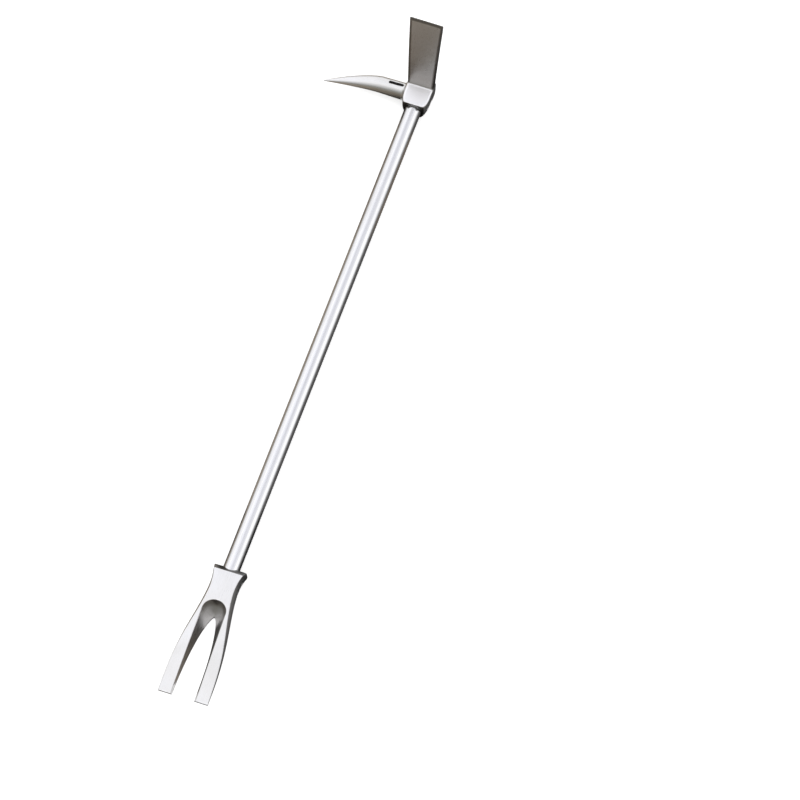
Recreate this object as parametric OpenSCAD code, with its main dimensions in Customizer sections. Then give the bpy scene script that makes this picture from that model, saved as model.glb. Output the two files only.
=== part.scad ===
// Forcible entry bar: forged head with adze and curved pick, plain round shaft, forged fork claw.
// Lies as in the photo: +Y runs along the shaft towards the head, +Z is up, the pick points to -X.
// The floor is Z = 0 and the striking face of the head stays at Y = head_back.

/* [Shaft] */
// Diameter of the round shaft
shaft_d = 25; // [22:0.5:27]
// Bare shaft between collar and claw
grip_len = 798.5; // [500:0.5:1000]
// Chamfer turned on both ends of the shaft
shaft_chamfer = 1.5; // [0.5:0.1:3]

/* [Collar] */
// Height of collar and claw socket above the floor
body_h = 36; // [35:0.5:44]
// Width of the collar across its top
collar_w = 40; // [37:0.5:50]
// Collar from its front edge to the inner face of the adze
collar_len = 32; // [29:0.5:45]
// Width of the flat the collar rests on
rest_w = 14; // [10:0.5:20]
// Radius of the long upper edges
collar_edge_r = 3.5; // [1:0.5:6]
// Rounding of the upper and lower edges of both ends
collar_end_r = 2.5; // [1:0.5:4]
// How far the sides are drawn in at the front end
collar_side_r = 5.5; // [2:0.5:6]
// Length over which the sides are drawn in
collar_side_run = 18; // [8:0.5:20]

/* [Adze] */
// Length of the blade above the collar
adze_len = 146; // [90:1:200]
// Thickness of the blade where it leaves the head
adze_root_t = 12.5; // [10:0.5:20]
// Thickness just above the sharpened edge
adze_tip_t = 4.5; // [3.5:0.5:8]
// Thickness of the sharpened edge
adze_edge_t = 1.2; // [1:0.1:3]
// Length of the sharpening bevel
adze_bevel = 15; // [8:1:25]
// Width of the blade at its edge
adze_tip_w = 51.5; // [40:0.5:70]
// How far the inner face leans away from the claw
adze_lean = 27; // [10:1:45]
// Chamfer along both edges of the inner face
adze_corner = 1.2; // [0.6:0.1:2]

/* [Pick] */
// Reach of the pick from the shaft axis
pick_reach = 140.5; // [100:0.5:180]
// Width of the pick along the shaft
pick_w = 23.5; // [17:0.5:25]
// How far the pick's rear edge stands behind the adze's inner face
pick_rear = 5; // [0:0.5:6]
// Height of the pick at its root
pick_h = 26; // [18:0.5:28]
// How far the point drops towards the claw
pick_droop = 20.5; // [8:0.5:35]
// Width left at the blunted point
pick_point = 1.6; // [1:0.1:4]
// Length of the valve slot through the pick
valve_slot_len = 23; // [14:1:30]
// Width of the valve slot
valve_slot_w = 4.6; // [4:0.1:6.5]
// Metal between collar and valve slot
valve_slot_gap = 4; // [3:0.5:8]
// How far the valve slot lies behind the middle of the pick
valve_slot_off = 2.5; // [0:0.5:4]

/* [Claw] */
// Length of the claw from its tips to the socket mouth
claw_len = 206; // [200:1:245]
// Width over the two tips
tip_span = 76; // [68:1:90]
// Thickness of the tips
tip_t = 2.6; // [2:0.1:4]
// Width of the waist behind the fork
waist_w = 43; // [40:0.5:48]
// Width of the flared socket mouth
mouth_w = 51; // [48:0.5:56]
// How far the forged sides stand out at mid height
side_draft = 4.8; // [2:0.2:6]
// Depth of the V slot between the tines
slot_depth = 135.5; // [120:0.5:141]
// Width of the V slot at the tips
slot_tip_w = 34; // [28:0.5:36]
// Height of the plain wall at the bottom of the slot
slot_lip = 3; // [2:0.2:5]
// Length of the hollow beyond the end of the slot
spoon_run = 14.5; // [11:0.5:17]
// Width of the hollow at its closed end
spoon_w = 35; // [32:0.5:36]
// Width of the hollow at the tips
spoon_tip_w = 39; // [37:0.5:42]
// Length over which the flat top turns into the round mouth
mouth_run = 8; // [5:0.5:12]
// Wall above the shaft at the very mouth
mouth_wall = 1.8; // [1.2:0.1:3]

/* [Sockets and pins] */
// Depth of the socket in the claw
claw_bore_depth = 44; // [40:1:46]
// Depth of the socket in the head
head_bore_depth = 34; // [30:1:38]
// Radial play between shaft and sockets
fit_play = 0.04; // [0.02:0.01:0.1]
// Diameter of the cross pins
pin_d = 8; // [5:0.5:10]
// Radial play between a pin and its hole
pin_play = 0.02; // [0.01:0.01:0.05]
// How far the pin ends lie below the forged sides
pin_sink = 0.5; // [0.2:0.1:1]
// Distance of the outer claw pin from the socket mouth
claw_pin_edge = 15; // [13:0.5:17]
// Distance between the two claw pins
claw_pin_pitch = 16; // [14:0.5:18]
// Distance of the head pin from the collar's front edge
head_pin_edge = 11; // [9:0.5:14]

/* [Hidden] */
forged = [0.72, 0.73, 0.75];
turned = [0.80, 0.81, 0.84];
pinned = [0.62, 0.63, 0.66];
eps = 0.01;
cut_over = 2;
axis_z = body_h / 2;
head_back = 24;
adze_face = head_back - adze_root_t;
collar_front = adze_face - collar_len;
collar_half = collar_w / 2;
mouth_y = collar_front - grip_len;
tip_y = mouth_y - claw_len;
head_seat = collar_front + head_bore_depth;
claw_seat = mouth_y - claw_bore_depth;
shaft_len = head_seat - claw_seat;
head_pin_y = collar_front + head_pin_edge;
claw_pin_ys = [mouth_y - claw_pin_edge, mouth_y - claw_pin_edge - claw_pin_pitch];
valve_slot_x = -(collar_half + valve_slot_gap + valve_slot_len / 2);

// Adze: step behind the collar's sides, share of the lean that is a curve, thinning at the neck,
// exponent of the taper, how fast the bevel thickens, and the small bevel on the inner face
adze_inset = 0.3;
adze_curve = 0.18;
adze_neck = 1.5;
adze_taper = 0.8;
bevel_slope = 0.1;
nose_share = 1 / 3;
nose_slope = 0.3;
// Inner face slightly hollow, back slightly crowned with rounder corners
adze_hollow = 0.4;
adze_crown = 0.5;
adze_back_corner = 1.6;

// Pick: start of the curve, exponents of sweep and section, sink of the point, fillet at the collar
pick_from = 10;
pick_straight = 58;
pick_sweep = 1.45;
pick_round = 0.74;
pick_sink = 1.2;
pick_fillet_run = 9;
pick_fillet_side = 0.8;
pick_fillet_rise = 1.2;

// Claw outline: plain length at the tips, waist before the mouth, exponents of fork and flare
tip_plain = 5;
waist_back = 22;
fork_curve = 1.42;
flare_curve = 1.4;
// Claw top: level beyond the waist, just under the collar's height
top_run = 8;
top_curve = 1.35;
top_drop = 1;
// Claw sides: bulge grows from the tips and fades towards the mouth
draft_start = 0.08;
draft_run = 140;
draft_curve = 1.4;
draft_fade_at = 160;
draft_fade_run = 40;
draft_fade = 0.7;
claw_edge_r = 1.4;
// Slot and hollow: bow of the slot, its round end, steep rim of the hollow, curve of its floor and wall
slot_bow = 2.2;
slot_round = 0.62;
tip_lip = 0.6;
spoon_least = 3;
rim_drop = 0.3;
rim_run = 0.12;
floor_curve = 1.35;
wall_bowl = 0.22;
// Sections along the claw
crotch_run = 17;
crotch_pack = 1.9;
mouth_turn = 2;
wall_steps = 7;
side_steps = 8;
spoon_end = slot_depth + spoon_run;
waist_at = claw_len - waist_back;
shoulder = claw_len - mouth_run;

// Soft step from 0 to 1
function ease(u) = (1 - cos(180 * min(1, max(0, u)))) / 2;
// Value between a and b
function mix(a, b, t) = a + (b - a) * t;
// One corner of a superellipse: signed power of a sine or cosine
function spow(v, p) = sign(v) * pow(abs(v), p);
// Quarter circle that falls from 1 to 0 over the length run
function quarter(d, run) = 1 - sqrt(1 - pow(1 - min(1, d / run), 2));

// Solid through rings of equal point count. Each end is closed round its middle.
function middle(ring) = [for (a = [0:2]) (min([for (p = ring) p[a]]) + max([for (p = ring) p[a]])) / 2];
module loft(rings) {
    n = len(rings[0]);
    last = len(rings) - 1;
    body = [for (r = rings) for (p = r) p];
    polyhedron(
        points = concat(body, [middle(rings[0]), middle(rings[last])]),
        faces = concat(
            [for (k = [0:last - 1]) for (j = [0:n - 1])
                [k * n + j, k * n + (j + 1) % n, (k + 1) * n + j]],
            [for (k = [0:last - 1]) for (j = [0:n - 1])
                [k * n + (j + 1) % n, (k + 1) * n + (j + 1) % n, (k + 1) * n + j]],
            [for (j = [0:n - 1]) [len(body), (j + 1) % n, j]],
            [for (j = [0:n - 1]) [len(body) + 1, last * n + j, last * n + (j + 1) % n]]
        ),
        convexity = 6
    );
}

// Cylinder along +Y that starts at y on the shaft axis
module along_y(y, d, len, chamfer = 0) {
    translate([0, y, axis_z]) rotate([-90, 0, 0]) {
        translate([0, 0, chamfer]) cylinder(d = d, h = len - 2 * chamfer, $fn = 96);
        if (chamfer > 0) {
            cylinder(d1 = d - 2 * chamfer, d2 = d, h = chamfer, $fn = 96);
            translate([0, 0, len - chamfer]) cylinder(d1 = d, d2 = d - 2 * chamfer, h = chamfer, $fn = 96);
        }
    }
}

// Cylinder across the shaft, centred on the axis at y
module across(y, d, len) {
    translate([0, y, axis_z]) rotate([0, 90, 0]) cylinder(d = d, h = len, center = true, $fn = 64);
}

// ---- shaft ----
module shaft() {
    color(turned) difference() {
        along_y(claw_seat, shaft_d, shaft_len, shaft_chamfer);
        across(head_pin_y, pin_d + 2 * pin_play, shaft_d + cut_over);
        for (y = claw_pin_ys) across(y, pin_d + 2 * pin_play, shaft_d + cut_over);
    }
}

// ---- head ----
// Block section at y: flat top with round edges, belly rounded down to the rest face.
// side and rise draw the section in from the sides and from above and below.
function block_ring(y, side, rise) = let (
    w = collar_half - side,
    top = body_h - rise,
    r = collar_edge_r,
    belly = axis_z - rise,
    foot = rest_w / 2 - rise,
    right = concat(
        [for (a = [-90:10:0]) [foot + (w - foot) * cos(a), rise + belly + belly * sin(a)]],
        [for (a = [0:18:90]) [w - r + r * cos(a), top - r + r * sin(a)]]
    ),
    n = len(right)
) [for (i = [0:2 * n - 1]) let (p = i < n ? right[i] : right[2 * n - 1 - i])
    [i < n ? p[0] : -p[0], y, p[1]]];

// The front end is drawn in over a long run, the striking end has small round edges only
module block() {
    round_ds = [for (a = [0:15:90]) collar_end_r * (1 - cos(a))];
    front_ds = concat(round_ds, [for (i = [1:6]) mix(collar_end_r, collar_side_run, i / 6)]);
    loft(concat(
        [for (d = front_ds) block_ring(collar_front + d,
            collar_side_r * quarter(d, collar_side_run), collar_end_r * quarter(d, collar_end_r))],
        [for (i = [len(round_ds) - 1:-1:0]) let (q = collar_end_r * quarter(round_ds[i], collar_end_r))
            block_ring(head_back - round_ds[i], q, q)]
    ));
}

// Blade half width, inner face and thickness at height u (0 at the collar, 1 at the edge)
bevel_u = 1 - adze_bevel / adze_len;
function adze_half(u) = mix(collar_half - adze_inset, adze_tip_w / 2, u);
function adze_inner(u) = adze_face + adze_lean * mix(u, u * u, adze_curve);
function adze_thick(u) = u < bevel_u
    ? mix(adze_root_t - adze_neck, adze_tip_t, pow(u / bevel_u, adze_taper))
    : mix(adze_tip_t, adze_edge_t + adze_bevel * bevel_slope, (u - bevel_u) / (1 - bevel_u));

// Short bevel on the inner face, half as steep as the outer one
function adze_nose(u) = nose_slope * adze_len * max(0, u - 1 + nose_share * (1 - bevel_u));

function adze_ring(u) = let (
    w = adze_half(u),
    y0 = adze_inner(u) + adze_nose(u),
    y1 = adze_inner(u) + adze_thick(u),
    c = min(adze_corner, (y1 - y0) / 4),
    b = adze_back_corner * c,
    z = body_h + u * adze_len
) [[w - c, y0, z], [0, y0 + adze_hollow, z], [-w + c, y0, z], [-w, y0 + c, z], [-w, y1 - b, z],
   [-w + b, y1, z], [0, y1 + adze_crown * c, z], [w - b, y1, z], [w, y1 - b, z], [w, y0 + c, z]];

module adze() {
    us = concat([for (i = [0:11]) bevel_u * i / 12], [bevel_u, mix(bevel_u, 1, 1 - nose_share), 1]);
    loft(concat(
        [[for (p = adze_ring(0)) [p[0], min(p[1], head_back - adze_neck / 2), axis_z]]],
        [for (u = us) adze_ring(u)]
    ));
}

// Pick outline: both edges stay straight to pick_straight, then sweep down to the point
function pick_t(d) = max(0, (d - pick_straight) / (pick_reach - pick_straight));
function pick_mid_y(d) = adze_face + pick_rear - pick_w / 2 - pick_droop * pow(pick_t(d), pick_sweep);
function pick_half_w(d) = mix(pick_w / 2, pick_point / 2, pow(pick_t(d), pick_sweep));
function pick_half_h(d) = let (t = max(0, (d - collar_half) / (pick_reach - collar_half)))
    mix(pick_h / 2, pick_point / 2, pow(t, pick_sweep));
function pick_ring(d) = let (fillet = pow(max(0, 1 - max(0, d - collar_half) / pick_fillet_run), 2))
    [for (a = [0:15:345]) [
        -d,
        pick_mid_y(d) + (pick_half_w(d) + fillet * pick_fillet_side) * spow(cos(a), pick_round),
        axis_z - pick_sink * pick_t(d)
            + (pick_half_h(d) + fillet * pick_fillet_rise) * spow(sin(a), pick_round)
    ]];

module pick() {
    fillet_to = collar_half + pick_fillet_run;
    loft(concat(
        [pick_ring(pick_from)],
        [for (i = [0:4]) pick_ring(mix(collar_half, fillet_to, i / 4))],
        [for (i = [1:14]) pick_ring(mix(fillet_to, pick_reach, sin(90 * i / 14)))]
    ));
}

module valve_slot() {
    far = (valve_slot_len - valve_slot_w) / 2;
    tall = body_h + cut_over;
    translate([valve_slot_x, pick_mid_y(pick_straight) + valve_slot_off, -cut_over / 2]) {
        for (side = [-far, far]) translate([side, 0, 0]) cylinder(d = valve_slot_w, h = tall, $fn = 48);
        translate([-far, -valve_slot_w / 2, 0]) cube([2 * far, valve_slot_w, tall]);
    }
}

module head() {
    color(forged) difference() {
        union() {
            block();
            adze();
            pick();
        }
        along_y(collar_front - eps, shaft_d + 2 * fit_play, head_bore_depth + eps);
        across(head_pin_y, pin_d + 2 * pin_play, collar_w + cut_over);
        valve_slot();
    }
}

// ---- claw ----
// Everything below is a function of s, the distance from the tips
function claw_half(s) = s < waist_at
    ? mix(tip_span / 2, waist_w / 2, ease(pow(max(0, (s - tip_plain) / (waist_at - tip_plain)), fork_curve)))
    : mix(waist_w / 2, mouth_w / 2, pow((s - waist_at) / waist_back, flare_curve));
function claw_top(s) = let (u = min(1, s / (waist_at + top_run)))
    mix(tip_t, body_h - top_drop, 1 - pow(1 - u, top_curve));
function claw_draft(s) = side_draft
    * mix(draft_start, 1, ease(pow(min(1, s / draft_run), draft_curve)))
    * (1 - draft_fade * ease((s - draft_fade_at) / draft_fade_run));
// The slot is a superellipse with its round end at slot_depth
function slot_half(s) = s >= slot_depth ? 0
    : slot_tip_w / 2 * pow(1 - pow(s / slot_depth, slot_bow), slot_round);
// The hollow has nearly parallel sides and a round closed end
function spoon_half(s) = let (
    r = spoon_w / 2,
    over = min(1, max(0, (s - spoon_end + r) / r)),
    full = mix(spoon_tip_w / 2, r, min(1, s / (spoon_end - r)))
) max(spoon_least, full * sqrt(1 - over * over));
// Depth of the hollow on the centre line as a share of its full depth: a steep rim, then the spoon's floor
function spoon_depth(s) = let (t = min(1, max(0, (spoon_end - s) / spoon_run)))
    mix(1 - pow(1 - t, floor_curve), 1 - pow(1 - min(1, t / rim_run), 2), rim_drop);

// Half section at s, from the inner bottom corner round the outside to the inner lip
function half_section(s) = let (
    w = claw_half(s),
    h = claw_top(s),
    d = claw_draft(s),
    c = min(claw_edge_r, h / 4),
    lip = min(slot_lip, h * tip_lip),
    xi = slot_half(s),
    xr = spoon_half(s),
    deep = spoon_depth(s) * (h - lip)
) concat(
    [[xi, 0], [w - d - c, 0]],
    [for (i = [0:side_steps]) let (q = mix(-1, 1, i / side_steps) * (1 - c / h))
        [w - d * q * q, h * (1 + q) / 2]],
    [[w - d - c, h]],
    [for (i = [0:wall_steps]) let (v = i / wall_steps)
        [mix(xi, xr, mix(1 - v, cos(90 * v), wall_bowl)), h - deep * mix(v, sin(90 * v), wall_bowl)]]
);

// The same points drawn in towards the ellipse of the socket mouth, by the share t
function round_section(s, t) = let (b = shaft_d / 2 + fit_play + mouth_wall)
    [for (p = half_section(s)) let (
        z = p[1] - axis_z,
        f = mix(1, 1 / sqrt(pow(p[0] / claw_half(s), 2) + pow(z / b, 2)), t)
    ) [p[0] * f, axis_z + z * f]];

// Skin of the whole claw. Both halves share the centre line where there is no slot.
module claw_skin() {
    tines = [for (i = [0:11]) (slot_depth - crotch_run) * i / 12];
    crotch = [for (i = [0:6]) slot_depth - crotch_run * pow(1 - i / 6, crotch_pack)];
    scoop = [for (i = [1:8]) slot_depth + spoon_run * sin(90 * i / 8)];
    socket = [for (i = [1:8]) mix(spoon_end, shoulder, i / 8)];
    mouth = [for (i = [1:5]) i / 5];
    open_to = len(tines) + len(crotch) - 1;
    sections = concat(
        [for (s = concat(tines, crotch, scoop, socket)) [s, half_section(s)]],
        [for (t = mouth) let (s = shoulder + mouth_run * t)
            [s, round_section(s, pow(t, mouth_turn))]]
    );
    n = len(sections[0][1]);
    m = len(sections);
    right = [for (q = sections) for (p = q[1]) [p[0], tip_y + q[0], p[1]]];
    left = [for (p = right) [-p[0], p[1], p[2]]];
    hub = [0, tip_y + claw_len, axis_z];
    function at(side, k, j) = let (i = k * n + j % n)
        side == 0 || (k >= open_to && (j % n == 0 || j % n == n - 1)) ? i : m * n + i;
    function quad(side, k, j) = let (
        a = at(side, k, j),
        b = at(side, k, j + 1),
        c = at(side, k + 1, j + 1),
        e = at(side, k + 1, j)
    ) side == 0 ? [[a, c, b], [a, e, c]] : [[a, b, c], [a, c, e]];
    function tip_cap(side, j) = let (
        a = at(side, 0, j),
        b = at(side, 0, j + 1),
        c = at(side, 0, n - 2 - j),
        e = at(side, 0, n - 1 - j)
    ) side == 0 ? [[a, b, c], [a, c, e]] : [[a, c, b], [a, e, c]];
    polyhedron(
        points = concat(right, left, [hub]),
        faces = concat(
            [for (side = [0, 1]) for (k = [0:m - 2]) for (j = [0:n - 2]) for (f = quad(side, k, j)) f],
            [for (side = [0, 1]) for (k = [0:open_to - 1]) for (f = quad(side, k, n - 1))
                if (f[0] != f[1] && f[1] != f[2] && f[2] != f[0]) f],
            [for (side = [0, 1]) for (j = [0:floor(n / 2) - 2]) for (f = tip_cap(side, j)) f],
            [for (j = [0:n - 2]) [at(0, m - 1, j), 2 * m * n, at(0, m - 1, j + 1)]],
            [for (j = [0:n - 2]) [at(1, m - 1, j), at(1, m - 1, j + 1), 2 * m * n]]
        ),
        convexity = 8
    );
}

module claw() {
    color(forged) difference() {
        claw_skin();
        along_y(claw_seat, shaft_d + 2 * fit_play, claw_bore_depth + cut_over);
        for (y = claw_pin_ys) across(y, pin_d + 2 * pin_play, mouth_w + cut_over);
    }
}

// ---- cross pins ----
module cross_pin(y, len) {
    color(pinned) across(y, pin_d, len);
}

// The head pin ends below the drawn-in sides of the collar
module head_pin() {
    drawn_in = collar_side_r * quarter(head_pin_edge - pin_d / 2, collar_side_run);
    cross_pin(head_pin_y, 2 * (collar_half - drawn_in - pin_sink));
}

module claw_pin_outer() {
    cross_pin(claw_pin_ys[0], 2 * claw_half(claw_len - claw_pin_edge) - 2 * pin_sink);
}

module claw_pin_inner() {
    cross_pin(claw_pin_ys[1], 2 * claw_half(claw_len - claw_pin_edge - claw_pin_pitch) - 2 * pin_sink);
}

shaft();
head();
claw();
head_pin();
claw_pin_outer();
claw_pin_inner();
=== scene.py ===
import math

import bmesh
import bpy
import numpy as np
from mathutils import Matrix, Vector


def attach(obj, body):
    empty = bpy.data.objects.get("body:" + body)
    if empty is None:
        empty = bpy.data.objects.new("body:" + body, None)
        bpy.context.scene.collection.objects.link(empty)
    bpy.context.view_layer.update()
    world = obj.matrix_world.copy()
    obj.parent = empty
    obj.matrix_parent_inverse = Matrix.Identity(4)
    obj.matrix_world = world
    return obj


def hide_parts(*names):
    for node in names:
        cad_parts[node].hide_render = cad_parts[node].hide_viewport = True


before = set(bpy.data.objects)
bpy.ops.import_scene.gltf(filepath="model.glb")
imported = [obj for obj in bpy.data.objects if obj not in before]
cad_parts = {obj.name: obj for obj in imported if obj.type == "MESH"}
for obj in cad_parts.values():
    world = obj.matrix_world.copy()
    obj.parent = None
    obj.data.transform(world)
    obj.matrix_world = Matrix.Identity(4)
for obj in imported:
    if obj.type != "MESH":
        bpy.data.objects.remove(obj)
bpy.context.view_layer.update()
MM = 0.001

# ---- camera: the photograph's viewing angle, solved from the outline of the bar ----
AZIMUTH, ELEVATION = 19.19, 62.64
DISTANCE = 20.0
PIXELS_PER_M = 691.4
AIM = Vector((0.136, -0.463, 0.036))
SHIFT_PX = (1.43, -14.66)


def view_axes():
    a, e = math.radians(AZIMUTH), math.radians(ELEVATION)
    out = Vector((math.sin(a) * math.cos(e), -math.cos(a) * math.cos(e), math.sin(e)))
    right = Vector((math.cos(a), math.sin(a), 0))
    return out, right, out.cross(right)


def add_camera():
    out, right, up = view_axes()
    aim = AIM - right * (SHIFT_PX[0] / PIXELS_PER_M) + up * (SHIFT_PX[1] / PIXELS_PER_M)
    data = bpy.data.cameras.new("camera")
    data.sensor_width = 36
    data.lens = PIXELS_PER_M * DISTANCE / 800 * data.sensor_width
    data.clip_end = 60
    cam = bpy.data.objects.new("camera", data)
    bpy.context.scene.collection.objects.link(cam)
    cam.matrix_world = Matrix.Translation(aim + out * DISTANCE) @ Matrix((right, up, out)).transposed().to_4x4()
    bpy.context.scene.camera = cam


# ---- node helpers ----
class Tree:
    def __init__(self, owner):
        owner.use_nodes = True
        self.tree = owner.node_tree
        self.tree.nodes.clear()

    def add(self, kind, settings=None, **inputs):
        node = self.tree.nodes.new(kind)
        for key, value in (settings or {}).items():
            setattr(node, key, value)
        for key, value in inputs.items():
            socket = node.inputs[int(key[1:])] if key[1:].isdigit() else node.inputs[key.replace("_", " ")]
            if isinstance(value, bpy.types.NodeSocket):
                self.tree.links.new(value, socket)
            else:
                socket.default_value = value
        return node

    def math(self, op, *values):
        return self.add("ShaderNodeMath", {"operation": op}, **{f"i{k}": v for k, v in enumerate(values)}).outputs[0]

    def ramp(self, value, stops):
        node = self.add("ShaderNodeValToRGB", i0=value)
        ramp = node.color_ramp
        while len(ramp.elements) > 1:
            ramp.elements.remove(ramp.elements[-1])
        for k, (place, colour) in enumerate(stops):
            element = ramp.elements[0] if k == 0 else ramp.elements.new(place)
            element.position = place
            element.color = (*colour, 1) if len(colour) == 3 else colour
        return node.outputs[0]

    def mix(self, share, a, b):
        node = self.add("ShaderNodeMix", {"data_type": "RGBA"})
        for socket, value in ((node.inputs[0], share), (node.inputs[6], a), (node.inputs[7], b)):
            if isinstance(value, bpy.types.NodeSocket):
                self.tree.links.new(value, socket)
            else:
                socket.default_value = value
        return node.outputs[2]


# ---- materials ----
# Stretch of the belt's lines on each axis.
BELT_BLADE, BELT_PICK, BELT_COLLAR, BELT_CLAW = (900, 900, 18), (24, 900, 900), (700, 24, 700), (800, 22, 800)
# Places in metres from the part's origin. A pair is the two ends of a soft step, the end that counts 0 first.
ABOVE_COLLAR, OFF_PICK = (0.034, 0.040), (-0.028, -0.018)
# The adze's face is RIM_HALF wide to each side at height RIM_FROM, and RIM_SPREAD more for each metre above it.
RIM_HALF, RIM_FROM, RIM_SPREAD = 0.0197, 0.036, 0.0415
RIM_SIDE, RIM_TOP, RIM_FOOT = (-0.0046, -0.0024), (0.1758, 0.1788), (0.036, 0.040)
ROOT_FADE, ROOT_FOOT = (0.105, 0.052), (0.0359, 0.0368)
CROWN_SIDE, CROWN_BACK, CROWN_TOP = (-0.028, -0.020), (0.0118, 0.0108), (0.0345, 0.0356)
AXIS_HEIGHT = 0.018
HEAD_END, CLAW_END, ENTRY_SHADE_REACH = (-0.0190, -0.0200), (-0.8290, -0.8270), (0.0275, 0.0180)
# WALL_TILT is the Z of the surface's normal.
HOLLOW_SIDE, HOLLOW_END, WALL_TILT = (0.0200, 0.0196), (-0.8720, -0.8735), (0.96, 0.86)
HOLLOW_CENTRE, HOLLOW_RIM, RIM_PART = 0.8925, (0.0125, 0.0165), (-0.900, -0.884)
# Colours of the steel, of what lies on it, and of the shade and highlight painted on it.
FORGED_CLOUDS = [(0.3, (0.70, 0.695, 0.69)), (0.5, (0.75, 0.745, 0.745)), (0.7, (0.77, 0.77, 0.78))]
BELT_GREY, PIT_BROWN = (0.62, 0.615, 0.61, 1), (0.36, 0.34, 0.32, 1)
CREASE_PAINTED_SHADE, WORN_BRIGHT = (0.50, 0.48, 0.45, 1), (0.84, 0.84, 0.85, 1)
# Painted shade at the blade's root, along the adze's edges and on the walls of the claw's hollow.
ROOT_PAINTED_SHADE, RIM_PAINTED_SHADE, HOLLOW_PAINTED_SHADE = (0.27, 0.24, 0.21, 1), (0.14, 0.13, 0.12, 1), (0.33, 0.305, 0.28, 1)
# Painted shade round the place where the shaft goes in, and a painted highlight on the collar's top.
ENTRY_PAINTED_SHADE, CROWN_PAINTED_HIGHLIGHT = (0.07, 0.068, 0.065, 1), (0.97, 0.965, 0.985, 1)
DRAWN_STEEL = [(0.35, (0.70, 0.70, 0.715)), (0.65, (0.77, 0.77, 0.785))]
HAND_WORN, SCRATCH_GREY = (0.68, 0.68, 0.69, 1), (0.50, 0.49, 0.48, 1)
PIN_GREY = [(0.3, (0.56, 0.555, 0.55)), (0.7, (0.66, 0.66, 0.665))]


def lines(t, where, stretch):
    """Noise drawn out along one axis: the marks of a grinding belt."""
    placed = t.add("ShaderNodeMapping", Vector=where, Scale=stretch).outputs[0]
    return t.add("ShaderNodeTexNoise", Vector=placed, Scale=1.0, Detail=6.0, Roughness=0.6).outputs[0]


def step(t, value, low, high):
    """0 at low, 1 at high, smooth between; low may be the larger."""
    return t.add("ShaderNodeMapRange", {"interpolation_type": "SMOOTHSTEP"}, i0=value, i1=low, i2=high).outputs[0]


def stain(t, colour, share, strength, target):
    """Draws colour towards target where share is 1."""
    return t.mix(t.math("MULTIPLY", share, strength), colour, target)


def metal_output(t, colour, rough, height, strength, distance):
    """Bump, metal and output, the same for all three steels."""
    bump = t.add("ShaderNodeBump", Strength=strength, Distance=distance, Height=height).outputs[0]
    bsdf = t.add("ShaderNodeBsdfPrincipled", Base_Color=colour, Metallic=1.0, Roughness=rough, Normal=bump)
    t.add("ShaderNodeOutputMaterial", Surface=bsdf.outputs[0])


def length(t, a, b):
    """Length of the vector (a, b)."""
    return t.math("SQRT", t.math("ADD", t.math("POWER", a, 2.0), t.math("POWER", b, 2.0)))


def blend(t, share, a, b):
    """Plain number between a and b."""
    return t.math("ADD", t.math("MULTIPLY", share, b), t.math("MULTIPLY", t.math("SUBTRACT", 1.0, share), a))


def head_lines(t, where, x, z):
    """Ground up the blade, along the pick and along the collar."""
    blade, pick, collar = (lines(t, where, s) for s in (BELT_BLADE, BELT_PICK, BELT_COLLAR))
    return blend(t, step(t, z, *ABOVE_COLLAR), blend(t, step(t, x, *OFF_PICK), pick, collar), blade)


def blade_rim_shade(t, x, z):
    """Painted shade: a dark line along the three edges of the adze's face."""
    half = t.math("ADD", RIM_HALF, t.math("MULTIPLY", t.math("SUBTRACT", z, RIM_FROM), RIM_SPREAD))
    side = t.math("SUBTRACT", t.math("ABSOLUTE", x), half)
    rim = t.math("MAXIMUM", step(t, side, *RIM_SIDE), step(t, z, *RIM_TOP))
    return t.math("MULTIPLY", rim, step(t, z, *RIM_FOOT))


def blade_root_shade(t, z):
    """Painted shade in the corner between blade and collar, fading up the blade."""
    return t.math("MULTIPLY", step(t, z, *ROOT_FADE), step(t, z, *ROOT_FOOT))


def collar_crown_highlight(t, x, y, z):
    """Top of the collar, with a painted highlight."""
    across = t.math("MULTIPLY", step(t, x, *CROWN_SIDE), step(t, y, *CROWN_BACK))
    return t.math("MULTIPLY", across, step(t, z, *CROWN_TOP))


def entry_shade(t, x, y, z, is_head):
    """Painted shade on the end face round the place where the shaft goes in."""
    reach = length(t, x, t.math("SUBTRACT", z, AXIS_HEIGHT))
    face = step(t, y, *(HEAD_END if is_head else CLAW_END))
    return t.math("MULTIPLY", face, step(t, reach, *ENTRY_SHADE_REACH))


def hollow_wall_shade(t, x, y):
    """Painted shade on the steep walls of the hollow and the slot, thickest under the rim of the closed end."""
    up = t.add("ShaderNodeSeparateXYZ", i0=t.add("ShaderNodeNewGeometry").outputs["True Normal"]).outputs["Z"]
    inside = t.math("MULTIPLY", step(t, t.math("ABSOLUTE", x), *HOLLOW_SIDE), step(t, y, *HOLLOW_END))
    from_centre = length(t, x, t.math("ADD", y, HOLLOW_CENTRE))
    rim = t.math("MULTIPLY", step(t, from_centre, *HOLLOW_RIM), step(t, y, *RIM_PART))
    return t.math("MULTIPLY", t.math("MULTIPLY", inside, step(t, up, *WALL_TILT)), blend(t, rim, 0.2, 0.9))


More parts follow.
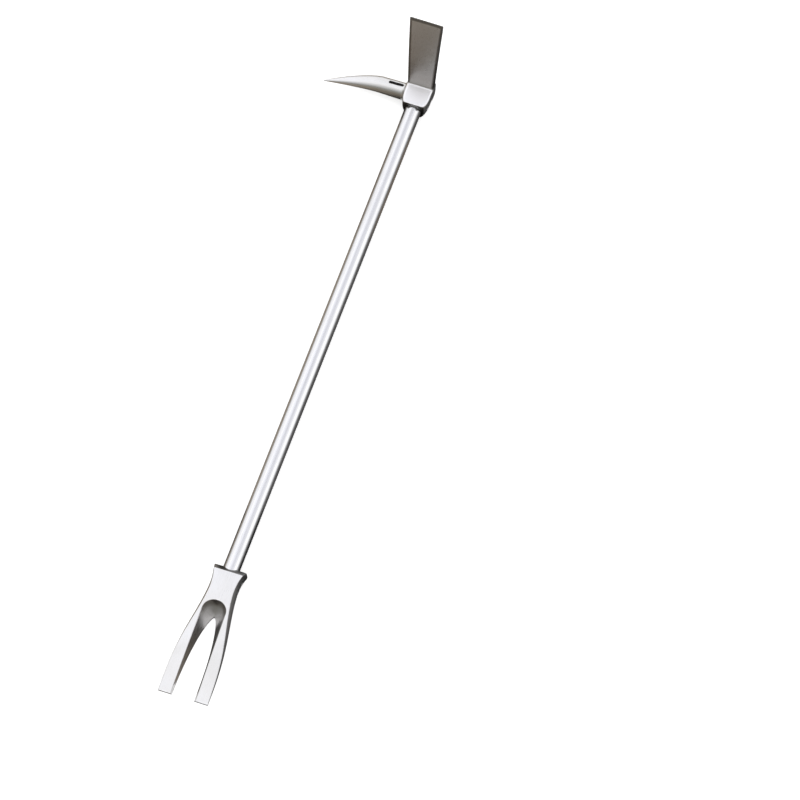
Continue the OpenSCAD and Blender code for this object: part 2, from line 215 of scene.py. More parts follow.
def forged_steel(name, is_head):
    """Satin forged steel: clouded, belt ground, pitted, bright on worn edges; painted shade in the creases and
    hollows and a painted highlight on the collar's top.
    """
    mat = bpy.data.materials.new(name)
    t = Tree(mat)
    where = t.add("ShaderNodeTexCoord").outputs["Object"]
    axes = t.add("ShaderNodeSeparateXYZ", i0=where).outputs
    cloud = t.add("ShaderNodeTexNoise", Vector=where, Scale=26.0, Detail=4.0).outputs[0]
    mottle = t.add("ShaderNodeTexNoise", Vector=where, Scale=170.0, Detail=5.0).outputs[0]
    ground = head_lines(t, where, axes["X"], axes["Z"]) if is_head else lines(t, where, BELT_CLAW)
    pits = t.add("ShaderNodeTexVoronoi", Vector=where, Scale=420.0, Randomness=1.0).outputs["Distance"]
    pit = t.math("MULTIPLY", step(t, pits, 0.22, 0.08), step(t, mottle, 0.52, 0.66))
    bend = t.add("ShaderNodeNewGeometry").outputs["Pointiness"]
    worn = t.math("MULTIPLY", step(t, bend, 0.505, 0.56), step(t, mottle, 0.35, 0.6))
    # Darker where the surface is concave: painted shade in the creases.
    crease_shade = step(t, bend, 0.497, 0.44)
    colour = t.ramp(cloud, FORGED_CLOUDS)
    colour = stain(t, colour, step(t, ground, 0.56, 0.36), 0.35, BELT_GREY)
    colour = stain(t, colour, pit, 0.25, PIT_BROWN)
    colour = stain(t, colour, crease_shade, 0.5, CREASE_PAINTED_SHADE)
    colour = stain(t, colour, worn, 0.6, WORN_BRIGHT)
    if is_head:
        colour = stain(t, colour, blade_root_shade(t, axes["Z"]), 0.6, ROOT_PAINTED_SHADE)
        colour = stain(t, colour, blade_rim_shade(t, axes["X"], axes["Z"]), 0.85, RIM_PAINTED_SHADE)
    else:
        colour = t.mix(hollow_wall_shade(t, axes["X"], axes["Y"]), colour, HOLLOW_PAINTED_SHADE)
    colour = stain(t, colour, entry_shade(t, axes["X"], axes["Y"], axes["Z"], is_head), 0.9, ENTRY_PAINTED_SHADE)
    rough = t.add("ShaderNodeMapRange", i0=ground, i1=0.3, i2=0.7, i3=0.23, i4=0.36).outputs[0]
    rough = blend(t, t.math("MULTIPLY", cloud, 0.3), rough, 0.42)
    rough = blend(t, t.math("MULTIPLY", worn, 0.6), rough, 0.18)
    if is_head:
        crown = collar_crown_highlight(t, axes["X"], axes["Y"], axes["Z"])
        colour = t.mix(crown, colour, CROWN_PAINTED_HIGHLIGHT)
        rough = blend(t, crown, rough, 0.5)
    height = t.math("ADD", t.math("MULTIPLY", cloud, 2.2), t.math("MULTIPLY", mottle, 0.35))
    height = t.math("ADD", height, t.math("MULTIPLY", ground, 0.16))
    height = t.math("SUBTRACT", height, t.math("MULTIPLY", pit, 0.25))
    metal_output(t, colour, rough, height, 0.35, 0.0004)
    return mat


def shaft_steel():
    """Bright drawn bar: fine lines along it, faint rings from turning, hand-worn patches."""
    mat = bpy.data.materials.new("shaft_steel")
    t = Tree(mat)
    where = t.add("ShaderNodeTexCoord").outputs["Object"]
    drawn = lines(t, where, (900, 9, 900))
    rings = lines(t, where, (30, 900, 30))
    patch = t.add("ShaderNodeTexNoise", Vector=where, Scale=17.0, Detail=5.0).outputs[0]
    scratch = t.math("MULTIPLY", step(t, lines(t, where, (260, 40, 260)), 0.66, 0.72), step(t, patch, 0.45, 0.6))
    worn = step(t, patch, 0.50, 0.66)
    colour = t.ramp(drawn, DRAWN_STEEL)
    colour = stain(t, colour, worn, 0.35, HAND_WORN)
    colour = stain(t, colour, scratch, 0.6, SCRATCH_GREY)
    rough = t.add("ShaderNodeMapRange", i0=drawn, i1=0.3, i2=0.7, i3=0.13, i4=0.22).outputs[0]
    rough = blend(t, t.math("MULTIPLY", worn, 0.5), rough, 0.30)
    height = t.math("ADD", t.math("MULTIPLY", drawn, 0.5), t.math("MULTIPLY", rings, 0.25))
    height = t.math("SUBTRACT", height, t.math("MULTIPLY", scratch, 0.5))
    metal_output(t, colour, rough, height, 0.25, 0.00015)
    return mat


def pin_steel():
    """Pin ends dressed on a lathe: fine rings, darker towards the rim."""
    mat = bpy.data.materials.new("pin_steel")
    t = Tree(mat)
    coords = t.add("ShaderNodeTexCoord").outputs
    middle = t.add("ShaderNodeVectorMath", {"operation": "SUBTRACT"},
                   i0=coords["Generated"], i1=(0.5, 0.5, 0.5)).outputs[0]
    turned = t.add("ShaderNodeTexWave", {"wave_type": "RINGS", "rings_direction": "X"},
                   Vector=middle, Scale=9.0, Distortion=0.6, Detail=2.0).outputs[1]
    grain = t.add("ShaderNodeTexNoise", Vector=coords["Object"], Scale=600.0, Detail=4.0).outputs[0]
    axes = t.add("ShaderNodeSeparateXYZ", i0=middle).outputs
    reach = length(t, axes["Y"], axes["Z"])
    colour = t.ramp(grain, PIN_GREY)
    colour = stain(t, colour, step(t, reach, 0.36, 0.5), 0.5, PIT_BROWN)
    rough = t.add("ShaderNodeMapRange", i0=turned, i3=0.24, i4=0.38).outputs[0]
    height = t.math("ADD", t.math("MULTIPLY", turned, 0.5), t.math("MULTIPLY", grain, 0.4))
    metal_output(t, colour, rough, height, 0.3, 0.0001)
    return mat


# ---- shapes ----
def ease(u):
    return (1 - np.cos(np.pi * np.clip(u, 0, 1))) / 2


def mix(a, b, t):
    return a + (b - a) * t


def new_piece(name, points, faces, mat, node, slot, sharp=35):
    mesh = bpy.data.meshes.new(name)
    mesh.from_pydata([tuple(p) for p in np.asarray(points) * MM], [], [tuple(f) for f in faces])
    mesh.validate()
    mesh.polygons.foreach_set("use_smooth", [True] * len(mesh.polygons))
    mesh.set_sharp_from_angle(angle=math.radians(sharp))
    obj = bpy.data.objects.new(name, mesh)
    bpy.context.scene.collection.objects.link(obj)
    mesh.materials.append(mat)
    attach(obj, "root")
    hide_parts(node)
    return obj


# -- claw: a loft of sections. s is the distance from the tips, in mm.
AXIS_Z = 18.0
TIP_Y, CLAW_LEN, SHAFT_D = -1025.0, 206.0, 25.0
WAIST_AT, BEVEL_AT, BEVEL_SLOPE = 184.0, 196.5, 0.85
TIP_HALF, WAIST_HALF, MOUTH_HALF = 38.0, 21.5, 25.5
SLOT_DEPTH, SPOON_RUN = 135.5, 14.5
SPOON_END = SLOT_DEPTH + SPOON_RUN
SPOON_HALF, SPOON_TIP_HALF, SLOT_TIP_HALF, SLOT_LIP = 17.5, 19.5, 17.0, 3.0
SPOON_LEAST, CLAW_EDGE, MOUTH_EDGE, RIM_R = 3.0, 1.4, 3.5, 1.2
MOUTH_TUCK, WALL_BOWL, END_BOWL = 4.5, 0.22, 0.6
TIP_H, TOP_H, TOP_RUN, TOP_CURVE, DRAFT = 2.6, 35.0, 192.0, 1.35, 4.8
EDGE_AT, EDGE_RUN, TUCK_AT, TUCK_RUN, BOWL_LEAD, BOWL_RUN = 190, 16, 176, 24, 40, 44
DRAFT_RUN, DRAFT_FADE_AT, DRAFT_FADE_RUN = 140, 160, 40
CROTCH_RUN, SOCKET_DEPTH, BORE_D = 17, 44, 25.08


def claw_half(s):
    if s < WAIST_AT:
        return mix(TIP_HALF, WAIST_HALF, ease(max(0, (s - 5) / (WAIST_AT - 5)) ** 1.42))
    return mix(WAIST_HALF, MOUTH_HALF, ((s - WAIST_AT) / (CLAW_LEN - WAIST_AT)) ** 1.4)


def claw_top(s):
    """Height of the top: rises from the tips, then falls away in the bevel of the socket mouth."""
    rise = mix(TIP_H, TOP_H, 1 - (1 - min(1, s / TOP_RUN)) ** TOP_CURVE)
    return rise - BEVEL_SLOPE * max(0, s - BEVEL_AT)


def claw_edge(s):
    return mix(CLAW_EDGE, MOUTH_EDGE, float(ease((s - EDGE_AT) / EDGE_RUN)))


def claw_draft(s):
    grow = 0.08 + 0.92 * ease(min(1, s / DRAFT_RUN) ** 1.4)
    return DRAFT * grow * (1 - 0.7 * ease((s - DRAFT_FADE_AT) / DRAFT_FADE_RUN))


def slot_half(s):
    return 0.0 if s >= SLOT_DEPTH else SLOT_TIP_HALF * (1 - (s / SLOT_DEPTH) ** 2.2) ** 0.62


def spoon_half(s):
    r = SPOON_HALF
    over = min(1, max(0, (s - SPOON_END + r) / r))
    return max(SPOON_LEAST, mix(SPOON_TIP_HALF, r, min(1, s / (SPOON_END - r))) * math.sqrt(1 - over * over))


def spoon_depth(s):
    """Share of the full depth on the centre line: a steep rim with a soft edge, then the floor of the spoon."""
    t = min(1, max(0, (SPOON_END - s) / SPOON_RUN))
    rim = 1 - (1 - min(1, t * t / (t + 0.02) / 0.12)) ** 2
    return mix(1 - (1 - t) ** 1.35, rim, 0.3)


def wall_point(v, xi, xr, h, deep, bowl):
    """From the rim (v 0) to the slot or the centre line (v 1); bowl 0 is a straight wall, 1 a quarter ellipse."""
    a = math.pi / 2 * v
    return mix(xi, xr, mix(1 - v, math.cos(a), bowl)), h - deep * mix(v, math.sin(a), bowl)


def rim_curve(t, *corners):
    """Point of the quadratic curve with these three corners."""
    return tuple((1 - t) ** 2 * p + 2 * t * (1 - t) * q + t * t * r for p, q, r in zip(*corners))


def half_section(s, wall_steps=22, side_steps=14, round_steps=5, rim_steps=5):
    """Right half of the section at s, from the slot along the sole, up the flank, over the top and down the wall."""
    w, h, d = claw_half(s), claw_top(s), claw_draft(s)
    c = min(claw_edge(s), h / 4)
    lip = min(SLOT_LIP, h * 0.6)
    xi, xr = slot_half(s), spoon_half(s)
    deep = spoon_depth(s) * (h - lip)
    bowl = mix(WALL_BOWL, END_BOWL, float(ease((s - SLOT_DEPTH + BOWL_LEAD) / BOWL_RUN)))
    tuck = MOUTH_TUCK * float(ease((s - TUCK_AT) / TUCK_RUN))
    pts = [(xi, 0.0), (w - d - tuck - c, 0.0)]
    for i in range(side_steps + 1):
        q = mix(-1, 1, i / side_steps) * (1 - c / h)
        pts.append((w - (d if q > 0 else d + tuck) * q * q, h * (1 + q) / 2))
    x0, z0 = pts[-1]
    x1 = w - d - c
    for i in range(1, round_steps + 1):
        a = math.pi / 2 * i / round_steps
        pts.append((x1 + (x0 - x1) * math.cos(a), z0 + (h - z0) * math.sin(a)))
    soft = min(RIM_R, (x1 - xr) / 2, h / 4)
    first = 0.06
    down = wall_point(first, xi, xr, h, deep, bowl)
    for i in range(rim_steps + 1):
        pts.append(rim_curve(i / rim_steps, (xr + soft, h), (xr, h), down))
    for i in range(1, wall_steps + 1):
        pts.append(wall_point(mix(first, 1, i / wall_steps), xi, xr, h, deep, bowl))
    return pts


def claw_stations():
    """Places of the sections from the tips to the mouth, and the first of them where both halves meet."""
    tines = [(SLOT_DEPTH - CROTCH_RUN) * i / 48 for i in range(48)]
    crotch = [SLOT_DEPTH - CROTCH_RUN * (1 - i / 18) ** 1.9 for i in range(19)]
    scoop = [SLOT_DEPTH + SPOON_RUN * math.sin(math.pi / 2 * i / 24) for i in range(1, 25)]
    socket = [mix(SPOON_END, BEVEL_AT, i / 24) for i in range(1, 25)]
    mouth = [mix(BEVEL_AT, CLAW_LEN, i / 12) for i in range(1, 13)]
    return tines + crotch + scoop + socket + mouth, len(tines) + len(crotch) - 1


def claw_skin():
    """The right half, the left half as its mirror image, and one point in the middle of the mouth."""
    stations, open_to = claw_stations()
    sections = [half_section(s) for s in stations]
    n, m = len(sections[0]), len(sections)
    right = [(x, TIP_Y + s, z) for s, section in zip(stations, sections) for x, z in section]
    left = [(-x, y, z) for x, y, z in right]
    points = right + left + [(0, TIP_Y + CLAW_LEN, AXIS_Z)]
    faces = []

    def at(side, k, j):
        i = k * n + j % n
        return i if side == 0 or (k >= open_to and j % n in (0, n - 1)) else m * n + i

    def put(side, *corners):
        keep = [c for k, c in enumerate(corners) if c != corners[k - 1]]
        if len(keep) > 2:
            faces.append(keep if side == 0 else keep[::-1])

    for side in (0, 1):
        for k in range(m - 1):
            for j in range(n - 1):
                put(side, at(side, k, j), at(side, k, j + 1), at(side, k + 1, j + 1), at(side, k + 1, j))
        for k in range(open_to):
            put(side, at(side, k, n - 1), at(side, k, 0), at(side, k + 1, 0), at(side, k + 1, n - 1))
        for j in range(n // 2 - 1):
            put(side, at(side, 0, j + 1), at(side, 0, j), at(side, 0, n - 1 - j), at(side, 0, n - 2 - j))
        for j in range(n - 1):
            put(side, at(side, m - 1, j), at(side, m - 1, j + 1), 2 * m * n)
    return points, faces


def cylinder(name, d, start, end, axis, segments=96):
    """A closed cylinder used only as a cutter, in mm."""
    a, b = Vector(start), Vector(end)
    u = Vector((0, 0, 1)) if axis == "Y" else Vector((0, 1, 0))
    v = (b - a).normalized().cross(u)
    ring = [(u * math.cos(t) + v * math.sin(t)) * d / 2 for t in np.arange(segments) * 2 * math.pi / segments]
    points = [a + r for r in ring] + [b + r for r in ring]
    faces = [(i, (i + 1) % segments, segments + (i + 1) % segments, segments + i) for i in range(segments)]
    faces += [tuple(range(segments))[::-1], tuple(range(segments, 2 * segments))]
    mesh = bpy.data.meshes.new(name)
    mesh.from_pydata([tuple(p * MM) for p in points], [], faces)
    obj = bpy.data.objects.new(name, mesh)
    bpy.context.scene.collection.objects.link(obj)
    return obj


def pin_hole(y, reach):
    return cylinder("pin_hole", HOLE_D, (-reach, y, AXIS_Z), (reach, y, AXIS_Z), "X", 64)


def flare(cutter, y, across, up):
    """Widens the end of a cutter in front of y to an oval."""
    for v in cutter.data.vertices:
        if v.co.y < y * MM:
            v.co.x *= across
            v.co.z = mix(AXIS_Z * MM, v.co.z, up)
    return cutter


WELD = 5e-6  # metres


def clear_slivers(mesh):
    """Welds what a boolean leaves closer than WELD and drops the folded pairs of triangles that this makes."""
    work = bmesh.new()
    work.from_mesh(mesh)
    bmesh.ops.remove_doubles(work, verts=work.verts, dist=WELD)
    bmesh.ops.dissolve_degenerate(work, dist=WELD, edges=work.edges)
    bmesh.ops.triangulate(work, faces=[f for f in work.faces if len(f.verts) > 4])
    seen = {}
    for f in work.faces:
        seen.setdefault(frozenset(v.index for v in f.verts), []).append(f)
    folded = [f for same in seen.values() if len(same) > 1 for f in same]
    bmesh.ops.delete(work, geom=folded, context="FACES")
    work.to_mesh(mesh)
    work.free()


def cut(obj, cutters):
    """Bores obj with exact booleans, then removes the cutters."""
    for c in cutters:
        mod = obj.modifiers.new("cut", "BOOLEAN")
        mod.operation, mod.solver, mod.object = "DIFFERENCE", "EXACT", c
    mesh = bpy.data.meshes.new_from_object(obj.evaluated_get(bpy.context.evaluated_depsgraph_get()))
    obj.modifiers.clear()
    old, obj.data = obj.data, mesh
    name = old.name
    bpy.data.meshes.remove(old)
    mesh.name = name
    clear_slivers(mesh)
    for c in cutters:
        bpy.data.objects.remove(c)


def add_claw(mat):
    points, faces = claw_skin()
    obj = new_piece("claw_forging", points, faces, mat, "claw", "forged_steel")
    mouth_y = TIP_Y + CLAW_LEN
    cutters = [cylinder("bore", BORE_D, (0, mouth_y - SOCKET_DEPTH, AXIS_Z), (0, mouth_y + 1, AXIS_Z), "Y")]
    cut(obj, cutters + [pin_hole(y, THROUGH_CLAW) for _, y in CLAW_PINS])
    obj.data.set_sharp_from_angle(angle=math.radians(35))


# -- shaft and cross pins: turned pieces
SHAFT_FROM, SHAFT_TO, SHAFT_CHAMFER = TIP_Y + CLAW_LEN - SOCKET_DEPTH, 13.5, 1.5
PIN_D, HOLE_D, HEAD_PIN_Y, HEAD_PIN_HALF, PIN_INSET = 8.0, 8.04, -9.5, 18.35, 0.5
THROUGH_CLAW, THROUGH_HEAD, THROUGH_SHAFT = 27, 24, 14
CLAW_PINS = (("claw_pin_outer", TIP_Y + CLAW_LEN - 15), ("claw_pin_inner", TIP_Y + CLAW_LEN - 31))


def lathe(profile, axis, y, segments):
    """Closed turned solid about the shaft axis or across it. profile: (place along the axis, radius) in mm."""
    points, faces = [], []
    for along, r in profile:
        for k in range(segments):
            a = 2 * math.pi * k / segments
            u, v = r * math.cos(a), r * math.sin(a)
            points.append((along, y + u, AXIS_Z + v) if axis == "X" else (u, along, AXIS_Z - v))
    for i in range(len(profile) - 1):
        for k in range(segments):
            a, b = i * segments + k, i * segments + (k + 1) % segments
            faces.append((a, b, b + segments, a + segments))
    last = (len(profile) - 1) * segments
    return points, faces + [tuple(range(segments))[::-1], tuple(range(last, last + segments))]


def add_shaft(mat):
    r, c = SHAFT_D / 2, SHAFT_CHAMFER
    profile = [(SHAFT_FROM, r - c), (SHAFT_FROM + c, r)]
    profile += [(mix(SHAFT_FROM + c, SHAFT_TO - c, i / 40), r) for i in range(1, 40)]
    profile += [(SHAFT_TO - c, r), (SHAFT_TO, r - c)]
    obj = new_piece("shaft_bar", *lathe(profile, "Y", 0, 160), mat, "shaft", "shaft_steel")
    cut(obj, [pin_hole(y, THROUGH_SHAFT) for y in (HEAD_PIN_Y, *(y for _, y in CLAW_PINS))])
    obj.data.set_sharp_from_angle(angle=math.radians(35))


def add_pin(name, y, half, mat):
    """Pin with chamfered rims and a small centre mark in both ends."""
    r = PIN_D / 2
    end = [(half - 0.4, 0.6), (half, 1.3), (half, r - 0.6), (half - 0.6, r)]
    profile = [(-x, d) for x, d in end] + [(x, d) for x, d in end[::-1]]
    new_piece(name + "_turned", *lathe(profile, "X", y, 64), mat, name, "pin_steel", 30)


# -- head: one forging, the zero surface of a field of signed distances in mm
BLOCK_HALF, BODY_H, EDGE_R, END_R, REST_HALF = 20.0, 36.0, 3.5, 0.8, 7.0
BLOCK_FRONT, BLOCK_BACK, DRAW_IN, DRAW_RUN = -20.5, 24.0, 5.5, 18.0
ADZE_FACE, ADZE_LEN, ADZE_LEAN, ADZE_BEVEL, ADZE_CORNER = 11.5, 146.0, 27.0, 15.0, 1.2
PICK_REACH, PICK_STRAIGHT, PICK_MID, PICK_DROOP = 140.5, 58.0, 4.75, 20.5
PICK_HALF_W, PICK_HALF_H, PICK_TIP, PICK_SINK, PICK_POWER = 12.2, 13.4, 0.8, 1.2, 2.3
ADZE_HALF, ADZE_HOLLOW, ADZE_ROOT_T, ADZE_THIN, ADZE_LIP = 25.75, 0.4, 11.0, 4.5, 2.7
SLOT_X, SLOT_Y, SLOT_REACH, SLOT_R = -35.5, 7.25, 9.2, 2.1
ADZE_FILLET, PICK_FILLET, SOLE_R, SLOT_EDGE_R = 3.0, 5.0, 1.5, 0.8
ADZE_EDGE_R, ADZE_SIDE_R, ADZE_TOP_R, ADZE_INSET, ADZE_FROM = 0.8, 1.0, 0.6, 0.3, 12
PICK_CURVE, PICK_FROM = 1.45, 8


def smooth_min(a, b, r):
    h = np.clip(0.5 + 0.5 * (b - a) / r, 0, 1)
    return b + (a - b) * h - r * h * (1 - h)


def smooth_max(a, b, r):
    return -smooth_min(-a, -b, r)


def block_field(x, y, z):
    back = 1 - np.clip((y - BLOCK_FRONT) / DRAW_RUN, 0, 1)
    side = BLOCK_HALF - DRAW_IN * (1 - np.sqrt(1 - back * back))
    u = np.maximum(np.abs(x) - REST_HALF, 0) / (side - REST_HALF)
    v = np.maximum(AXIS_Z - z, 0) / AXIS_Z
    belly = (np.sqrt(u * u + v * v) - 1) * mix(side - REST_HALF, AXIS_Z, v / (u + v + 1e-6))
    section = smooth_max(belly, z - BODY_H, EDGE_R)
    ends = np.abs(y - (BLOCK_FRONT + BLOCK_BACK) / 2) - (BLOCK_BACK - BLOCK_FRONT) / 2
    return smooth_max(smooth_max(section, -z, SOLE_R), ends, END_R)


def adze_field(x, y, z):
    u = np.clip((z - BODY_H) / ADZE_LEN, -0.3, 1)
    b = 1 - ADZE_BEVEL / ADZE_LEN
    half = mix(BLOCK_HALF - ADZE_INSET, ADZE_HALF, np.clip(u, 0, 1))
    inner = ADZE_FACE + ADZE_LEAN * (0.82 * u + 0.18 * u * u)
    face = inner + ADZE_HOLLOW * (1 - np.clip(np.abs(x) / half, 0, 1) ** 2)
    plain = mix(ADZE_ROOT_T, ADZE_THIN, np.clip(u / b, 0, 1) ** 0.8)
    thick = np.where(u < b, plain, mix(ADZE_THIN, ADZE_LIP, (u - b) / (1 - b)))
    nose = np.maximum(0, u - 1 + ADZE_BEVEL / ADZE_LEN / 3) * ADZE_LEN * 0.3
    slab = smooth_max(face + nose - y, y - inner - thick, ADZE_EDGE_R)
    corner = (face - y + np.abs(x) - half + ADZE_CORNER) / math.sqrt(2)
    blade = np.maximum(smooth_max(np.abs(x) - half, slab, ADZE_SIDE_R), corner)
    return smooth_max(blade, np.maximum(z - BODY_H - ADZE_LEN, ADZE_FROM - z), ADZE_TOP_R)


def pick_field(x, y, z):
    d = -x
    t = np.clip((d - PICK_STRAIGHT) / (PICK_REACH - PICK_STRAIGHT), 0, 1)
    mid_y = PICK_MID - PICK_DROOP * t ** PICK_CURVE
    half_w = mix(PICK_HALF_W, PICK_TIP, t ** PICK_CURVE)
    half_h = mix(PICK_HALF_H, PICK_TIP, np.clip((d - BLOCK_HALF) / (PICK_REACH - BLOCK_HALF), 0, 1) ** PICK_CURVE)
    p = PICK_POWER
    a, b = np.abs(y - mid_y) / half_w, np.abs(z - AXIS_Z + PICK_SINK * t) / half_h
    ring = ((a ** p + b ** p) ** (1 / p) - 1) * np.minimum(half_w, half_h)
    return np.maximum(ring, np.maximum(d - PICK_REACH, PICK_FROM - d))


def head_field(x, y, z):
    body = smooth_min(block_field(x, y, z), adze_field(x, y, z), ADZE_FILLET)
    body = smooth_min(body, pick_field(x, y, z), PICK_FILLET)
    slot_x = np.maximum(np.abs(x - SLOT_X) - SLOT_REACH, 0)
    slot = np.sqrt(slot_x ** 2 + (y - SLOT_Y) ** 2) - SLOT_R
    return smooth_max(body, -slot, SLOT_EDGE_R)


def cell_at(axis, others, k, i, j):
    cell = [None] * 3
    cell[axis], cell[others[0]], cell[others[1]] = k, i, j
    return cell


def surface(field, low, high, pitch):
    """Naive surface nets: one point in each cell that the zero surface crosses, one quad round each crossed edge."""
    axes = [np.arange(low[a], high[a] + pitch[a], pitch[a]) for a in range(3)]
    value = field(*np.meshgrid(*axes, indexing="ij", sparse=True)).astype(np.float32)
    inside = value < 0
    shape = tuple(k - 1 for k in value.shape)
    total = np.zeros(shape + (3,), np.float32)
    count = np.zeros(shape, np.int16)
    crossed = []
    for axis in range(3):
        a, ia = np.moveaxis(value, axis, 0), np.moveaxis(inside, axis, 0)
        k, i, j = np.nonzero(ia[:-1] != ia[1:])
        others = [o for o in range(3) if o != axis]
        place = np.zeros((len(k), 3), np.float32)
        place[:, axis] = k + a[k, i, j] / (a[k, i, j] - a[k + 1, i, j])
        place[:, others[0]], place[:, others[1]] = i, j
        for di, dj in ((0, 0), (0, -1), (-1, 0), (-1, -1)):
            cell = cell_at(axis, others, k, i + di, j + dj)
            ok = np.ones(len(k), bool)
            for o in others:
                ok &= (cell[o] >= 0) & (cell[o] < shape[o])
            index = tuple(c[ok] for c in cell)
            np.add.at(total, index, place[ok])
            np.add.at(count, index, 1)
        crossed.append((axis, others, k, i, j, ia[k, i, j]))
    used = count > 0
    ids = np.full(shape, -1, np.int64)
    ids[used] = np.arange(used.sum())
    points = total[used] / count[used][:, None] * np.array(pitch) + np.array([a[0] for a in axes])
    faces = []
    for axis, others, k, i, j, start_in in crossed:
        turn = ((0, 0), (-1, 0), (-1, -1), (0, -1))
        quad = np.stack([ids[tuple(cell_at(axis, others, k, i + di, j + dj))] for di, dj in turn], 1)
        flip = start_in if axis != 1 else ~start_in
        quad[~flip] = quad[~flip][:, ::-1]
        faces.append(quad)
    return points, np.concatenate(faces)


HEAD_GRID = (-142.5, -22, -1.1), (27.5, 44.0, 184.0), (0.9, 0.6, 0.8)
SINK_D, SINK_DEPTH, SINK_ACROSS, SINK_UP = 24.8, 3.4, 1.12, 1.39


def add_head(mat):
    points, faces = surface(head_field, *HEAD_GRID)
    obj = new_piece("head_forging", points, faces, mat, "head", "forged_steel", 60)
    sink = cylinder("countersink", SINK_D, (0, BLOCK_FRONT - 1, AXIS_Z), (0, BLOCK_FRONT + SINK_DEPTH, AXIS_Z), "Y")
    cut(obj, [cylinder("bore", BORE_D, (0, BLOCK_FRONT - 1.5, AXIS_Z), (0, SHAFT_TO, AXIS_Z), "Y"),
              flare(sink, BLOCK_FRONT, SINK_ACROSS, SINK_UP),
              pin_hole(HEAD_PIN_Y, THROUGH_HEAD)])
    obj.data.set_sharp_from_angle(angle=math.radians(50))


# ---- stage ----
FLOOR_WHITE, FLOOR_LIFT = (0.93, 0.93, 0.93, 1), 0.6
# Colours that only the metal sees on the floor: painted reflections, warm on the left and dark on the right.
REFLECTION_LEFT, REFLECTION_RIGHT, REFLECTION_FAR_RIGHT = (0.44, 0.38, 0.31, 1), (0.16, 0.155, 0.15, 1), (0.50, 0.50, 0.50, 1)
# Painted shade that only the metal sees: in front of the blade and the socket mouth, beside the back of the head,
# and a painted shadow close to the bar.
SHADE_BEFORE_BLADE, SHADE_BEFORE_MOUTH = (0.25, 0.21, 0.17, 1), (0.04, 0.04, 0.04, 1)
SHADE_BESIDE_HEAD, SHADOW_UNDER_BAR = (0.05, 0.05, 0.05, 1), (0.03, 0.03, 0.03, 1)
# Their places in metres, as soft steps along X (SIDE, BESIDE, RIGHT) and Y.
TO_RIGHT, TO_FAR_RIGHT = (-0.01, 0.02), (0.06, 0.25)
BEHIND_FROM, BEHIND_TO, BESIDE_FROM, BESIDE_TO = (0.0, 0.05), (0.20, 0.13), (-0.005, 0.015), (0.15, 0.10)
BLADE_FROM, BLADE_TO, BLADE_SIDE = (-0.036, -0.050), (-0.25, -0.18), (0.09, 0.06)
MOUTH_FROM, MOUTH_TO, MOUTH_SIDE = (-0.84, -0.82), (-0.69, -0.71), (0.07, 0.05)
SHADE_REACH, SHADE_FADE = 0.09, (0.45, 0.95)
# Sky that the metal mirrors, by height (Z of the direction): behind the bar, and on the camera's side.
FAR_SKY = [(0.0, (0.55, 0.55, 0.55)), (0.2, (1.0, 1.0, 1.0)), (0.45, (1.25, 1.25, 1.26)),
           (0.72, (1.18, 1.18, 1.2)), (0.87, (0.91, 0.92, 0.98))]
NEAR_SKY = [(0.0, (0.22, 0.215, 0.18)), (0.44, (0.38, 0.38, 0.36)), (0.71, (0.7, 0.7, 0.7)),
            (0.92, (0.95, 0.95, 0.96)), (1.0, (1.08, 1.08, 1.1))]
SKY_LIGHT = (0.75, 0.75, 0.75, 1)


def floor_material():
    """White to the camera, with the bar's shadow in it. The metal mirrors painted reflections and painted shade on
    the
    floor: warm on the left, darker in front of the blade and close by on the right, darkest beside the back of the
    head, before the socket mouth and close to the bar."""
    mat = bpy.data.materials.new("floor")
    t = Tree(mat)
    path = t.add("ShaderNodeLightPath")
    axes = t.add("ShaderNodeSeparateXYZ", i0=t.add("ShaderNodeTexCoord").outputs["Object"]).outputs
    open_sky = t.add("ShaderNodeAmbientOcclusion", {"samples": 8}, Distance=SHADE_REACH).outputs["AO"]
    right = t.mix(step(t, axes["X"], *TO_FAR_RIGHT), REFLECTION_RIGHT, REFLECTION_FAR_RIGHT)
    floor = t.mix(step(t, axes["X"], *TO_RIGHT), REFLECTION_LEFT, right)
    behind = t.math("MULTIPLY", step(t, axes["Y"], *BEHIND_FROM), step(t, axes["Y"], *BEHIND_TO))
    beside = t.math("MULTIPLY", step(t, axes["X"], *BESIDE_FROM), step(t, axes["X"], *BESIDE_TO))
    floor = t.mix(t.math("MULTIPLY", behind, beside), floor, SHADE_BESIDE_HEAD)
    before = t.math("MULTIPLY", step(t, axes["Y"], *BLADE_FROM), step(t, axes["Y"], *BLADE_TO))
    before = t.math("MULTIPLY", before, step(t, t.math("ABSOLUTE", axes["X"]), *BLADE_SIDE))
    floor = t.mix(before, floor, SHADE_BEFORE_BLADE)
    clear = t.math("MAXIMUM", step(t, open_sky, *SHADE_FADE), before)
    mouth = t.math("MULTIPLY", step(t, axes["Y"], *MOUTH_FROM), step(t, axes["Y"], *MOUTH_TO))
    mouth = t.math("MULTIPLY", mouth, step(t, t.math("ABSOLUTE", axes["X"]), *MOUTH_SIDE))
    floor = t.mix(mouth, floor, SHADE_BEFORE_MOUTH)
    # Painted shadow close to the bar, seen only by the metal.
    mirrored = t.mix(clear, SHADOW_UNDER_BAR, floor)
    colour = t.mix(path.outputs["Is Camera Ray"], mirrored, FLOOR_WHITE)
    lift = t.math("MULTIPLY", path.outputs["Is Camera Ray"], FLOOR_LIFT)
    bsdf = t.add("ShaderNodeBsdfDiffuse", Color=colour).outputs[0]
    glow = t.add("ShaderNodeEmission", Color=(1, 1, 1, 1), Strength=lift).outputs[0]
    both = t.add("ShaderNodeAddShader", i0=bsdf, i1=glow).outputs[0]
    t.add("ShaderNodeOutputMaterial", Surface=both)
    return mat


def add_floor():
    half = 8.0
    mesh = bpy.data.meshes.new("floor")
    mesh.from_pydata([(-half, -half, 0), (half, -half, 0), (half, half, 0), (-half, half, 0)], [], [(0, 1, 2, 3)])
    obj = bpy.data.objects.new("floor", mesh)
    bpy.context.scene.collection.objects.link(obj)
    mesh.materials.append(floor_material())


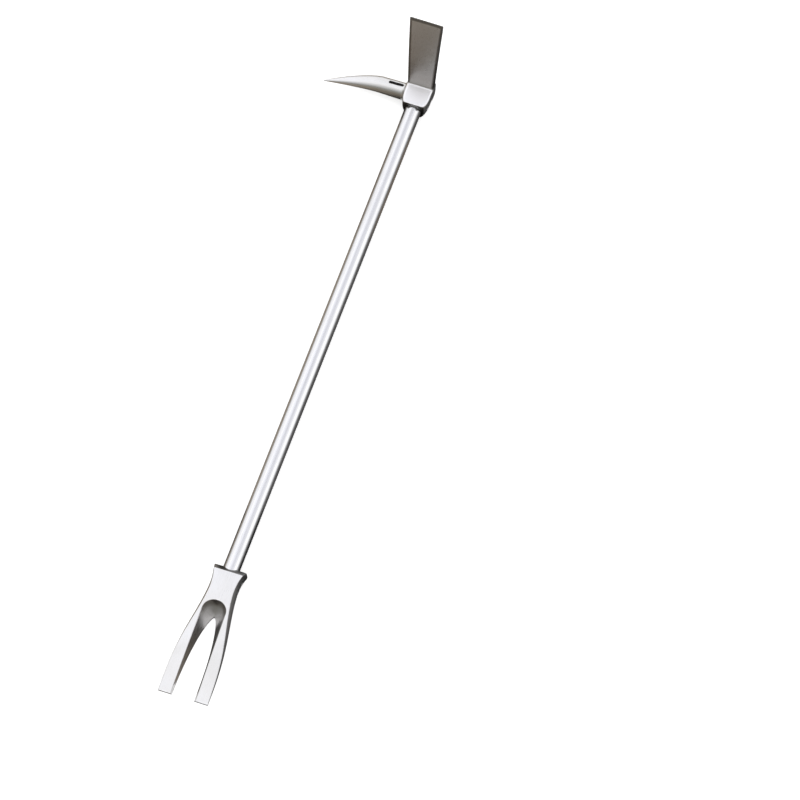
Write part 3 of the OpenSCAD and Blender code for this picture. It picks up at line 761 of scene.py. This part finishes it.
def add_area(name, direction, distance, size, radiance, colour):
    data = bpy.data.lights.new(name, "AREA")
    data.shape = "RECTANGLE"
    data.size, data.size_y = size
    data.energy = radiance * math.pi * size[0] * size[1]
    data.color = colour
    obj = bpy.data.objects.new(name, data)
    bpy.context.scene.collection.objects.link(obj)
    d = Vector(direction).normalized()
    obj.location = Vector((0, -0.45, 0.02)) + d * distance
    obj.rotation_euler = d.to_track_quat("Z", "Y").to_euler()


def add_world():
    """White to the camera. The metal mirrors a sky that is darker near the horizon and on the camera's side."""
    world = bpy.data.worlds.new("world")
    bpy.context.scene.world = world
    t = Tree(world)
    path = t.add("ShaderNodeLightPath")
    direction = t.add("ShaderNodeTexCoord").outputs["Generated"]
    axes = t.add("ShaderNodeSeparateXYZ", i0=direction)
    far, near = t.ramp(axes.outputs["Z"], FAR_SKY), t.ramp(axes.outputs["Z"], NEAR_SKY)
    side = t.add("ShaderNodeMapRange", i0=axes.outputs["Y"], i1=-0.05, i2=0.25).outputs[0]
    mirrored = t.mix(side, near, far)
    colour = t.mix(path.outputs["Is Glossy Ray"], SKY_LIGHT, mirrored)
    shown = t.math("MAXIMUM", path.outputs["Is Camera Ray"], path.outputs["Is Transmission Ray"])
    colour = t.mix(shown, colour, (1, 1, 1, 1))
    back = t.add("ShaderNodeBackground", Color=colour, Strength=1.0)
    t.add("ShaderNodeOutputWorld", Surface=back.outputs[0])


add_camera()
add_floor()
add_world()
add_area("overhead", (-0.28, 0.15, 0.95), 6, (4.2, 6.5), 0.29, (1, 1, 1))
add_area("right", (0.816, 0.4346, 0.38), 6, (3, 4), 0.25, (0.95, 0.98, 1))
bpy.context.scene.view_settings.view_transform = "Standard"

pin = pin_steel()
add_shaft(shaft_steel())
add_claw(forged_steel("claw_steel", False))
add_head(forged_steel("head_steel", True))
add_pin("head_pin", HEAD_PIN_Y, HEAD_PIN_HALF, pin)
for name, y in CLAW_PINS:
    add_pin(name, y, claw_half(y - TIP_Y) - PIN_INSET, pin)
